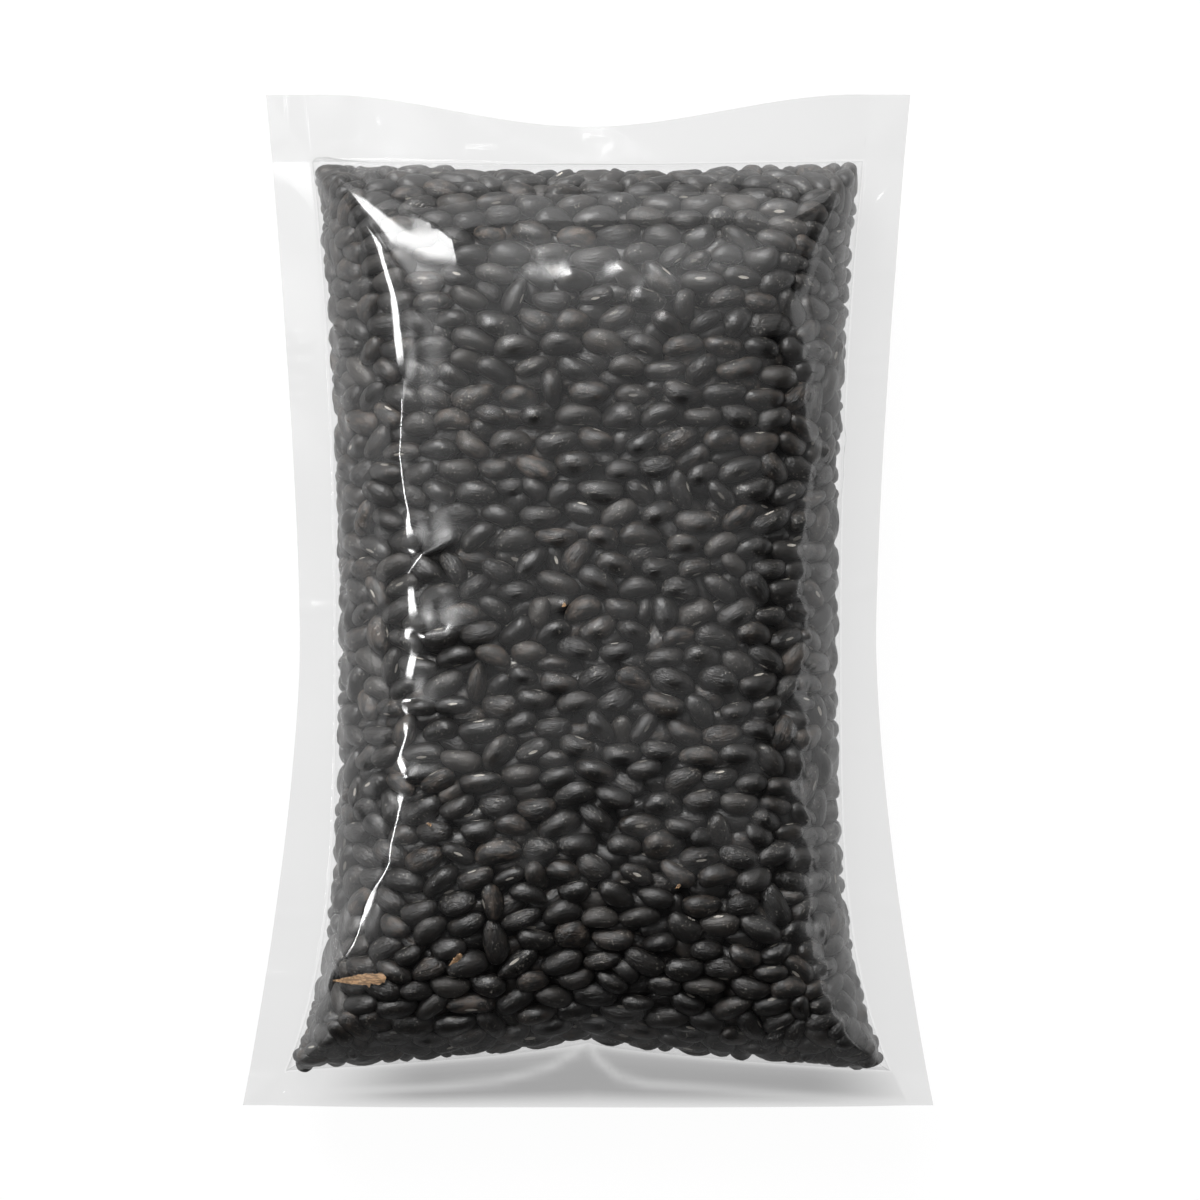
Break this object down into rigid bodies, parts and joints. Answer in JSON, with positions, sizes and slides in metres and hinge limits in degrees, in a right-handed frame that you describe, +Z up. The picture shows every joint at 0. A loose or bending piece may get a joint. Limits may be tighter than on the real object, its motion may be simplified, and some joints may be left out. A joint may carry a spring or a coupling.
{
  "type": "bag of dried black beans",
  "caption": "Sealed clear pillow bag filled with dried black beans, lying flat on its back, with a welded film margin all round.",
  "frame": {"origin": "centre of the bag's footprint, on the table that it lies on", "axes": "+X to the bag's right as seen from its front, +Y from the foot seal to the head seal, +Z up out of the front face"},
  "size_m": [0.1736, 0.254, 0.0495],
  "materials": {
    "black_beans": "satin seed coats seen through clear film",
    "clear_film": "glossy clear flexible film"
  },
  "bodies": {
    "root": {"bean_bag": "black_beans"}
  },
  "joints": []
}
